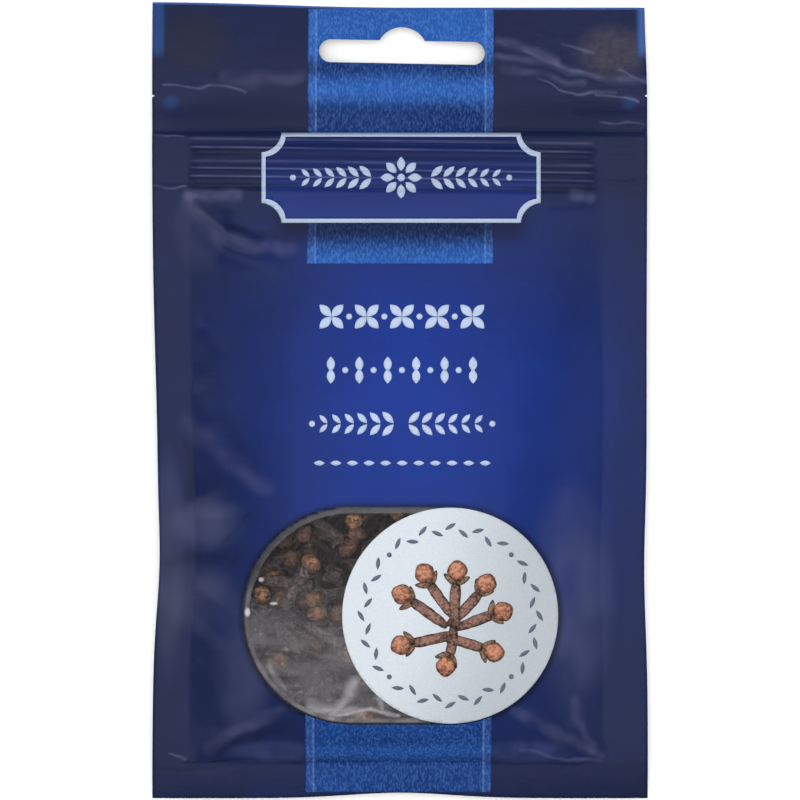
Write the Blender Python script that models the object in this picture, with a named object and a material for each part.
"""Flat film sachet of whole cloves, lying on its back with the printed side up.

The sachet is one printed film pouch, welded at both sides, the bottom and the head. It has a hang
hole in the head, a tear notch at each side, a press-to-close zip across it, and a clear window
with round ends. The right end of the window is covered by a printed round badge, so only the left
part of it is clear. Metres, +Z up, +Y towards the hang hole.
"""

from math import asin, cos, degrees, exp, hypot, pi, radians, sin, sqrt
import random

import bmesh
import bpy
from mathutils import Matrix, Vector

MM = 0.001

# The pouch seen from above
WIDTH = 90.0 * MM
LENGTH = 144.6 * MM
FILM = 0.5 * MM
LEFT_SEAL = 6.5 * MM
RIGHT_SEAL = 8.0 * MM
BOTTOM_SEAL = 6.8 * MM
HEAD_SEAL_FROM = 55.2 * MM
ZIP_FROM = 38.2 * MM
ZIP_TO = 47.4 * MM
TOP = LENGTH / 2
BOTTOM = -LENGTH / 2
CHAMBER_FROM = BOTTOM + BOTTOM_SEAL

# How the filling pulls the edges in: how far, where along Y, over what span
LEFT_PULLS = ((1.0 * MM, -14.0 * MM, 30.0 * MM), (0.6 * MM, -30.0 * MM, 11.0 * MM))
RIGHT_PULLS = (
    (0.55 * MM, -31.5 * MM, 14.0 * MM),
    (0.25 * MM, 5.0 * MM, 45.0 * MM),
    (0.50 * MM, 72.0 * MM, 12.0 * MM),
)
BOTTOM_BOW = 1.0 * MM
BOTTOM_BOW_SPAN = 13.0 * MM
HEAD_DIP = 1.0 * MM
BOW_REACH = 16.0 * MM

# The pouch seen from the side
SEAM_HEIGHT = 4.5 * MM
HEAD_DROOP = 3.4 * MM
HEAD_BEND = 1.2 * MM
BEND_FROM = 47.6 * MM
BEND_TO = 55.6 * MM
TAIL_DROOP = 1.6 * MM
FRONT_RISE = 7.0 * MM
BACK_DROP = 7.2 * MM
RISE_SPAN = 22.0 * MM
FULL_TO = -6.0 * MM
ZIP_SHARE = 0.30
CROSS_POWER = 3.0
CROSS_ROUNDING = 1.1

# Folds that are large enough to be part of the form
PUCKER = 0.35 * MM
PUCKER_LENGTH = 17.0 * MM
PUCKER_REACH = 7.0 * MM
ZIP_RIDGES = 5
ZIP_RIDGE_HEIGHT = 0.28 * MM
ZIP_INSET = 0.6 * MM

# Hang hole, which lies a little askew, and tear notches
HOLE_X = 0.35 * MM
HOLE_Y = 63.2 * MM
HOLE_LENGTH = 30.1 * MM
HOLE_HEIGHT = 4.2 * MM
HOLE_HUMP_RADIUS = 4.6 * MM
HOLE_TURN = -1.1
NOTCH_DEPTH = 0.8 * MM
NOTCH_HALF_HEIGHT = 0.3 * MM

# Window and badge
WINDOW_Y = -39.0 * MM
WINDOW_RADIUS = 19.5 * MM
WINDOW_LEFT_CENTRE = -8.8 * MM
BADGE_CENTRE = 9.1 * MM
BADGE_RADIUS = 19.5 * MM
WINDOW_TIP = 1.2 * MM
POCKET_FLOOR = 3.0 * MM
PANE = 0.5 * MM
GAP = 0.35 * MM

# Whole cloves: a stem, a collar of four pointed sepals, and a round bud
CLOVE_STEM = 10.5 * MM
CLOVE_SPACING = 4.0 * MM
CLOVE_SIDES = 8
BUD_RADIUS = 1.95 * MM
CORE_DEPTH = 2.6 * MM
SEED = 11

# The grid that the film's faces lie on
GRID_STEP_Y = 3.1 * MM
GRID_STEP_X = 3.4 * MM
WINDOW_GRID_STEP = 2.6 * MM
ABOVE_ALL = 20.0 * MM
BELOW_ALL = -5.0 * MM


def clamp(value, low=0.0, high=1.0):
    return max(low, min(high, value))


def smooth(value):
    t = clamp(value)
    return t * t * (3 - 2 * t)


def bell(value, centre, span):
    return exp(-(((value - centre) / span) ** 2))


def side_edges(y):
    """The pouch's left and right edge at this Y."""
    left = -WIDTH / 2 + sum(depth * bell(y, at, span) for depth, at, span in LEFT_PULLS)
    right = WIDTH / 2 - sum(depth * bell(y, at, span) for depth, at, span in RIGHT_PULLS)
    return left, right


def fullness(y):
    """How full the pouch is at this Y: 0 in a seal, 1 where the cloves lie thickest."""
    if y <= CHAMBER_FROM or y >= HEAD_SEAL_FROM:
        return 0.0
    rise = sin(pi / 2 * clamp((y - CHAMBER_FROM) / RISE_SPAN)) ** 0.7
    fall = 1 - (1 - ZIP_SHARE) * smooth((y - FULL_TO) / (ZIP_FROM - FULL_TO))
    close = 1 - smooth((y - ZIP_FROM) / (HEAD_SEAL_FROM - ZIP_FROM))
    return rise * fall * close


def across(x, y):
    """0 at the side seals and 1 halfway between them, along the pouch's rounded section."""
    left, right = side_edges(y)
    place = (x - left - LEFT_SEAL) / (right - RIGHT_SEAL - left - LEFT_SEAL)
    if not 0 < place < 1:
        return 0.0
    return (1 - abs(2 * place - 1) ** CROSS_POWER) ** CROSS_ROUNDING


def seam_height(y):
    """The middle of the welded film, which droops at both ends and sinks just above the zip."""
    tail = clamp((CHAMBER_FROM + BOTTOM_SEAL - y) / (2 * BOTTOM_SEAL))
    head = clamp((y - ZIP_TO) / (TOP - ZIP_TO))
    climb = (BEND_TO - y) / (BEND_TO - BEND_FROM)
    bend = HEAD_BEND * smooth(1.2 * climb) * smooth(5 * (1 - climb))
    return SEAM_HEIGHT - TAIL_DROOP * tail**2 - HEAD_DROOP * head**2 - bend


def pucker(x, y):
    """Waves that the side seals press into the filled film."""
    left, right = side_edges(y)
    by_left = bell(x, left + LEFT_SEAL + PUCKER_REACH / 2, PUCKER_REACH)
    by_right = bell(x, right - RIGHT_SEAL - PUCKER_REACH / 2, PUCKER_REACH)
    wave = 2 * pi * y / PUCKER_LENGTH
    return PUCKER * (by_left * sin(wave) + 0.5 * by_right * sin(wave + 2)) * fullness(y)


def zip_relief(x, y):
    """The ribs of the press-to-close zip, which stop short of the side seals."""
    left, right = side_edges(y)
    if not left + LEFT_SEAL < x < right - RIGHT_SEAL:
        return 0.0
    if not ZIP_FROM < y < ZIP_TO:
        return 0.0
    turn = (y - ZIP_FROM) / (ZIP_TO - ZIP_FROM) * ZIP_RIDGES
    return ZIP_RIDGE_HEIGHT * (1 - cos(2 * pi * turn)) / 2


def front_height(x, y):
    """The upper face of the pouch."""
    swell = FRONT_RISE * across(x, y) * fullness(y)
    shaped = pucker(x, y) * across(x, y) + zip_relief(x, y)
    return seam_height(y) + FILM / 2 + swell + shaped


def back_height(x, y):
    """The lower face of the pouch, flat where it lies on the table."""
    swell = BACK_DROP * across(x, y) * fullness(y)
    return max(0.0, seam_height(y) - FILM / 2 - swell)


def even_steps(start, end, step):
    """Values from start to end, as near to this step as fits, both ends included."""
    count = max(1, round((end - start) / step))
    return [start + (end - start) * i / count for i in range(count + 1)]


def rows_along_length():
    """The Y of each row of the film's grid, closer together over the zip and by the seals."""
    rib_step = (ZIP_TO - ZIP_FROM) / (2 * ZIP_RIDGES)
    parts = (
        (BOTTOM, CHAMBER_FROM, BOTTOM_SEAL / 2),
        (CHAMBER_FROM, CHAMBER_FROM + RISE_SPAN / 4, RISE_SPAN / 16),
        (CHAMBER_FROM + RISE_SPAN / 4, ZIP_FROM, GRID_STEP_Y),
        (ZIP_FROM, ZIP_TO, rib_step),
        (ZIP_TO, HEAD_SEAL_FROM, GRID_STEP_Y),
        (HEAD_SEAL_FROM, TOP, GRID_STEP_Y * 2),
    )
    rows = [BOTTOM]
    for start, end, step in parts:
        rows += even_steps(start, end, step)[1:]
    return rows


def columns_at(y):
    """The X of each point of one row: the edges, the seals' inner lines and the film between."""
    left, right = side_edges(y)
    inner_left = left + LEFT_SEAL
    inner_right = right - RIGHT_SEAL
    near = (inner_right - inner_left) * 0.012
    far = (inner_right - inner_left) * 0.045
    middle = even_steps(inner_left + far, inner_right - far, GRID_STEP_X)
    return [
        left,
        (left + inner_left) / 2,
        inner_left,
        inner_left + ZIP_INSET + near,
        *middle,
        inner_right - ZIP_INSET - near,
        inner_right,
        (inner_right + right) / 2,
        right,
    ]


def bowed(x, y):
    """Y with the bow of the bottom edge and the dip of the head edge worked in."""
    bow = BOTTOM_BOW * bell(x, 0, BOTTOM_BOW_SPAN) * clamp(1 - (y - BOTTOM) / BOW_REACH)
    dip = HEAD_DIP * smooth(1 + 2 * x / WIDTH) * clamp(1 - (TOP - y) / BOW_REACH)
    return y + bow - dip


def slab_mesh(name, rows, columns_of, upper, lower, place=None):
    """A closed mesh between two height functions over a grid of rows and columns."""
    bm = bmesh.new()
    layers = []
    for height in (upper, lower):
        layer = []
        for y in rows:
            points = []
            for x in columns_of(y):
                shown_y = place(x, y) if place else y
                points.append(bm.verts.new((x, shown_y, height(x, y))))
            layer.append(points)
        layers.append(layer)
    top, base = layers
    last_row = len(rows) - 1
    last_column = len(top[0]) - 1
    for j in range(last_row):
        for i in range(last_column):
            bm.faces.new((top[j][i], top[j][i + 1], top[j + 1][i + 1], top[j + 1][i]))
            bm.faces.new((base[j][i], base[j + 1][i], base[j + 1][i + 1], base[j][i + 1]))
    rim = [(0, i) for i in range(last_column)]
    rim += [(j, last_column) for j in range(last_row)]
    rim += [(last_row, i) for i in range(last_column, 0, -1)]
    rim += [(j, 0) for j in range(last_row, 0, -1)]
    for k, (j, i) in enumerate(rim):
        next_j, next_i = rim[(k + 1) % len(rim)]
        bm.faces.new((base[j][i], base[next_j][next_i], top[next_j][next_i], top[j][i]))
    bm.normal_update()
    flat = [edge for edge in bm.edges if max(v.co.z for v in edge.verts) < 1e-7]
    inside = [e for e in flat if all(abs(f.normal.z) > 0.999 for f in e.link_faces)]
    bmesh.ops.dissolve_edges(bm, edges=inside, use_verts=True)
    bmesh.ops.triangulate(bm, faces=bm.faces, quad_method="FIXED")
    mesh = bpy.data.meshes.new(name)
    bm.to_mesh(mesh)
    bm.free()
    return mesh


def prism_mesh(name, outline, low, high):
    """A closed upright prism over an outline of (x, y) points that runs counterclockwise."""
    bm = bmesh.new()
    base = [bm.verts.new((x, y, low)) for x, y in outline]
    face = bm.faces.new(base)
    made = bmesh.ops.extrude_face_region(bm, geom=[face])
    raised = [item for item in made["geom"] if isinstance(item, bmesh.types.BMVert)]
    bmesh.ops.translate(bm, verts=raised, vec=Vector((0, 0, high - low)))
    bmesh.ops.recalc_face_normals(bm, faces=bm.faces)
    mesh = bpy.data.meshes.new(name)
    bm.to_mesh(mesh)
    bm.free()
    return mesh


def arc(centre_x, centre_y, radius, start, end, count):
    """Points on an arc, angles in degrees, both ends included."""
    return [
        (
            centre_x + radius * cos(radians(start + (end - start) * i / count)),
            centre_y + radius * sin(radians(start + (end - start) * i / count)),
        )
        for i in range(count + 1)
    ]


def hang_hole_outline():
    """A slot with round ends and a round hump above its middle."""
    end_radius = HOLE_HEIGHT / 2
    reach = HOLE_LENGTH / 2 - end_radius
    hump_start = degrees(asin(end_radius / HOLE_HUMP_RADIUS))
    level = [
        *arc(-reach, 0, end_radius, 90, 270, 8),
        *arc(reach, 0, end_radius, -90, 90, 8),
        *arc(0, 0, HOLE_HUMP_RADIUS, hump_start, 180 - hump_start, 10),
    ]
    turn = radians(HOLE_TURN)
    return [
        (HOLE_X + x * cos(turn) - y * sin(turn), HOLE_Y + x * sin(turn) + y * cos(turn))
        for x, y in level
    ]


def window_outline(inset):
    """The clear part of the window: its round left end, up to the badge's edge.

    The window narrows to nothing where the badge meets its straight edges, so it is cut off where
    WINDOW_TIP of its height is left.
    """
    radius = WINDOW_RADIUS - inset
    badge = BADGE_RADIUS + inset
    tip = sqrt(BADGE_RADIUS**2 - (BADGE_RADIUS - WINDOW_TIP) ** 2) + inset
    tip_x = BADGE_CENTRE - tip
    turn = 180 - degrees(asin(sqrt(badge**2 - tip**2) / badge))
    return [
        (tip_x, WINDOW_Y + radius),
        *arc(WINDOW_LEFT_CENTRE, WINDOW_Y, radius, 90, 270, 26),
        (tip_x, WINDOW_Y - radius),
        *arc(BADGE_CENTRE, WINDOW_Y, badge, 360 - turn, turn, 18),
    ]


def inside_window(x, y, inset):
    """True if this place is in the clear part of the window, this far from its edges."""
    radius = WINDOW_RADIUS - inset
    if hypot(x - BADGE_CENTRE, y - WINDOW_Y) < BADGE_RADIUS + inset:
        return False
    if x > BADGE_CENTRE - BADGE_RADIUS / 3:
        return False
    if x < WINDOW_LEFT_CENTRE:
        return hypot(x - WINDOW_LEFT_CENTRE, y - WINDOW_Y) < radius
    return abs(y - WINDOW_Y) < radius


def window_grid():
    """Rows and columns of a plain grid that covers the window."""
    reach = WINDOW_RADIUS + WINDOW_GRID_STEP
    rows = even_steps(WINDOW_Y - reach, WINDOW_Y + reach, WINDOW_GRID_STEP)
    columns = even_steps(WINDOW_LEFT_CENTRE - reach, BADGE_CENTRE, WINDOW_GRID_STEP)
    return rows, lambda y: columns


def link(name, mesh):
    obj = bpy.data.objects.new(name, mesh)
    bpy.context.scene.collection.objects.link(obj)
    return obj


def helper(name, mesh):
    """A cutter or a guide, which isn't part of the object."""
    obj = link(name, mesh)
    obj.hide_render = True
    obj.display_type = "WIRE"
    return obj


def add_boolean(obj, operation, other):
    cut = obj.modifiers.new(other.name, "BOOLEAN")
    cut.operation = operation
    cut.object = other
    cut.solver = "EXACT"
    return cut


def material(name, colour, roughness):
    made = bpy.data.materials.new(name)
    made.use_nodes = True
    shader = made.node_tree.nodes["Principled BSDF"]
    shader.inputs["Base Color"].default_value = (*colour, 1)
    shader.inputs["Roughness"].default_value = roughness
    shader.inputs["Metallic"].default_value = 0
    return made


def apply_modifiers(obj):
    """Turns the object's evaluated shape into its mesh."""
    graph = bpy.context.evaluated_depsgraph_get()
    mesh = bpy.data.meshes.new_from_object(obj.evaluated_get(graph))
    obj.modifiers.clear()
    obj.data = mesh


def keep_largest_body(obj):
    """Drops loose scraps that a Boolean left beside the main body."""
    bm = bmesh.new()
    bm.from_mesh(obj.data)
    left = set(bm.verts)
    bodies = []
    while left:
        body = set()
        front = [next(iter(left))]
        while front:
            vert = front.pop()
            if vert in body:
                continue
            body.add(vert)
            front += [edge.other_vert(vert) for edge in vert.link_edges]
        bodies.append(body)
        left -= body
    largest = max(bodies, key=len)
    scraps = [vert for vert in bm.verts if vert not in largest]
    bmesh.ops.delete(bm, geom=scraps, context="VERTS")
    bm.to_mesh(obj.data)
    bm.free()


def smooth_shade(obj, angle):
    obj.data.shade_smooth()
    obj.data.set_sharp_from_angle(angle=radians(angle))


def make_pouch():
    """The film pouch with its cloves, one body, cut by the hang hole, notches and window."""
    mesh = slab_mesh("pouch", rows_along_length(), columns_at, front_height, back_height, bowed)
    pouch = link("pouch", mesh)
    smooth_shade(pouch, 40)
    mesh.materials.append(material("printed_film", (0.018, 0.030, 0.155), 0.38))
    hole = helper("hang_hole_cutter", prism_mesh("hole", hang_hole_outline(), BELOW_ALL, ABOVE_ALL))
    add_boolean(pouch, "DIFFERENCE", hole)
    for name, side in (("left", 0), ("right", 1)):
        edge = side_edges(HEAD_SEAL_FROM)[side]
        inward = 1 if side == 0 else -1
        outline = [
            (edge - inward * NOTCH_DEPTH, HEAD_SEAL_FROM - 2 * NOTCH_HALF_HEIGHT),
            (edge + inward * NOTCH_DEPTH, HEAD_SEAL_FROM),
            (edge - inward * NOTCH_DEPTH, HEAD_SEAL_FROM + 2 * NOTCH_HALF_HEIGHT),
        ]
        notch = prism_mesh(name, outline[::inward], BELOW_ALL, ABOVE_ALL)
        add_boolean(pouch, "DIFFERENCE", helper(f"{name}_notch_cutter", notch))
    pocket = prism_mesh("pocket", window_outline(0), POCKET_FLOOR, ABOVE_ALL)
    add_boolean(pouch, "DIFFERENCE", helper("window_cutter", pocket))


def pane_underside(x, y):
    return front_height(x, y) - PANE


def make_window_pane():
    """The clear film of the window, which follows the pouch's front."""
    rows, columns = window_grid()
    mesh = slab_mesh("window_pane", rows, columns, front_height, pane_underside)
    pane = link("window_pane", mesh)
    mesh.materials.append(material("clear_film", (0.75, 0.76, 0.78), 0.15))
    edge = prism_mesh("pane_edge", window_outline(GAP), BELOW_ALL, ABOVE_ALL)
    add_boolean(pane, "INTERSECT", helper("pane_edge", edge))


def clove_mesh(rng):
    """One whole clove along Z, its collar at the origin, as eight-sided rings that make one body."""
    size = rng.uniform(0.88, 1.12)
    bend = rng.uniform(-0.12, 0.12)
    # Height and radius of each ring, in millimetres. The collar's rings have a second radius for
    # the four sepal tips, and every other point of the ring is on a tip.
    rings = [
        (-10.5, 0.85, 0.85),
        (-6.0, 1.15, 1.15),
        (-0.9, 1.55, 1.45),
        (0.5, 1.75, 2.75),
        (1.1, 1.60, 2.95),
        (2.1, 1.95, 1.80),
        (3.5, 1.35, 1.30),
    ]
    if rng.random() < 0.15:
        rings = rings[:5]
    bm = bmesh.new()
    loops = []
    for height, between, tip in rings:
        stretch = height * size * MM
        shift = bend * stretch**2 / CLOVE_STEM
        loop = []
        for i in range(CLOVE_SIDES):
            angle = 2 * pi * i / CLOVE_SIDES
            reach = (tip if i % 2 else between) * size * MM
            loop.append(bm.verts.new((reach * cos(angle) + shift, reach * sin(angle), stretch)))
        loops.append(loop)
    for lower, upper in zip(loops, loops[1:]):
        for i in range(CLOVE_SIDES):
            j = (i + 1) % CLOVE_SIDES
            bm.faces.new((lower[i], lower[j], upper[j], upper[i]))
    bm.faces.new(loops[0][::-1])
    bm.faces.new(loops[-1])
    bmesh.ops.recalc_face_normals(bm, faces=bm.faces)
    bmesh.ops.triangulate(bm, faces=bm.faces)
    mesh = bpy.data.meshes.new("clove")
    bm.to_mesh(mesh)
    bm.free()
    return mesh


def clove_places(rng):
    """Where the cloves that show lie: a jittered grid, each at its own turn and tilt."""
    spots = []
    reach = WINDOW_RADIUS
    for y in even_steps(WINDOW_Y - reach, WINDOW_Y + reach, CLOVE_SPACING):
        for x in even_steps(WINDOW_LEFT_CENTRE - reach, BADGE_CENTRE, CLOVE_SPACING):
            at_x = x + rng.uniform(-0.3, 0.3) * CLOVE_SPACING
            at_y = y + rng.uniform(-0.3, 0.3) * CLOVE_SPACING
            turn = rng.uniform(0, 2 * pi)
            tilt = radians(90 - rng.uniform(-6, 24))
            sink = rng.uniform(0.0, 0.9) * MM
            if inside_window(at_x, at_y, GAP + BUD_RADIUS / 2):
                spots.append((at_x, at_y, turn, tilt, sink))
    return spots


def core_top(x, y):
    return max(pocket_bottom(x, y) + FILM, pane_underside(x, y) - GAP - CORE_DEPTH)


def room_top(x, y):
    return pane_underside(x, y) - GAP


def pocket_bottom(x, y):
    return POCKET_FLOOR + GAP


def make_clove_heap():
    """The cloves that show: a core with whole cloves fused on, trimmed to the window's pocket."""
    rng = random.Random(SEED)
    rows, columns = window_grid()
    heap = link("clove_heap", slab_mesh("core", rows, columns, core_top, pocket_bottom))
    cloves = bpy.data.collections.new("cloves")
    bpy.context.scene.collection.children.link(cloves)
    for at_x, at_y, turn, tilt, sink in clove_places(rng):
        clove = bpy.data.objects.new("clove", clove_mesh(rng))
        height = room_top(at_x, at_y) - BUD_RADIUS - sink
        lean = Matrix.Rotation(turn, 4, "Z") @ Matrix.Rotation(tilt, 4, "Y")
        spin = Matrix.Rotation(rng.uniform(0, pi / 2), 4, "Z")
        clove.matrix_world = Matrix.Translation((at_x, at_y, height)) @ lean @ spin
        cloves.objects.link(clove)
    join = heap.modifiers.new("cloves", "BOOLEAN")
    join.operation = "UNION"
    join.operand_type = "COLLECTION"
    join.collection = cloves
    join.solver = "MANIFOLD"
    apply_modifiers(heap)
    for clove in list(cloves.objects):
        bpy.data.objects.remove(clove)
    bpy.data.collections.remove(cloves)
    room = link("room", slab_mesh("room", rows, columns, room_top, pocket_bottom))
    edge = link("edge", prism_mesh("edge", window_outline(GAP), BELOW_ALL, ABOVE_ALL))
    for trim in (room, edge):
        add_boolean(heap, "INTERSECT", trim).solver = "MANIFOLD"
    apply_modifiers(heap)
    bpy.data.objects.remove(room)
    bpy.data.objects.remove(edge)
    keep_largest_body(heap)
    heap.data.materials.clear()
    heap.data.materials.append(material("cloves", (0.085, 0.045, 0.026), 0.75))


def main():
    for obj in list(bpy.data.objects):
        bpy.data.objects.remove(obj)
    make_pouch()
    make_window_pane()
    make_clove_heap()


main()
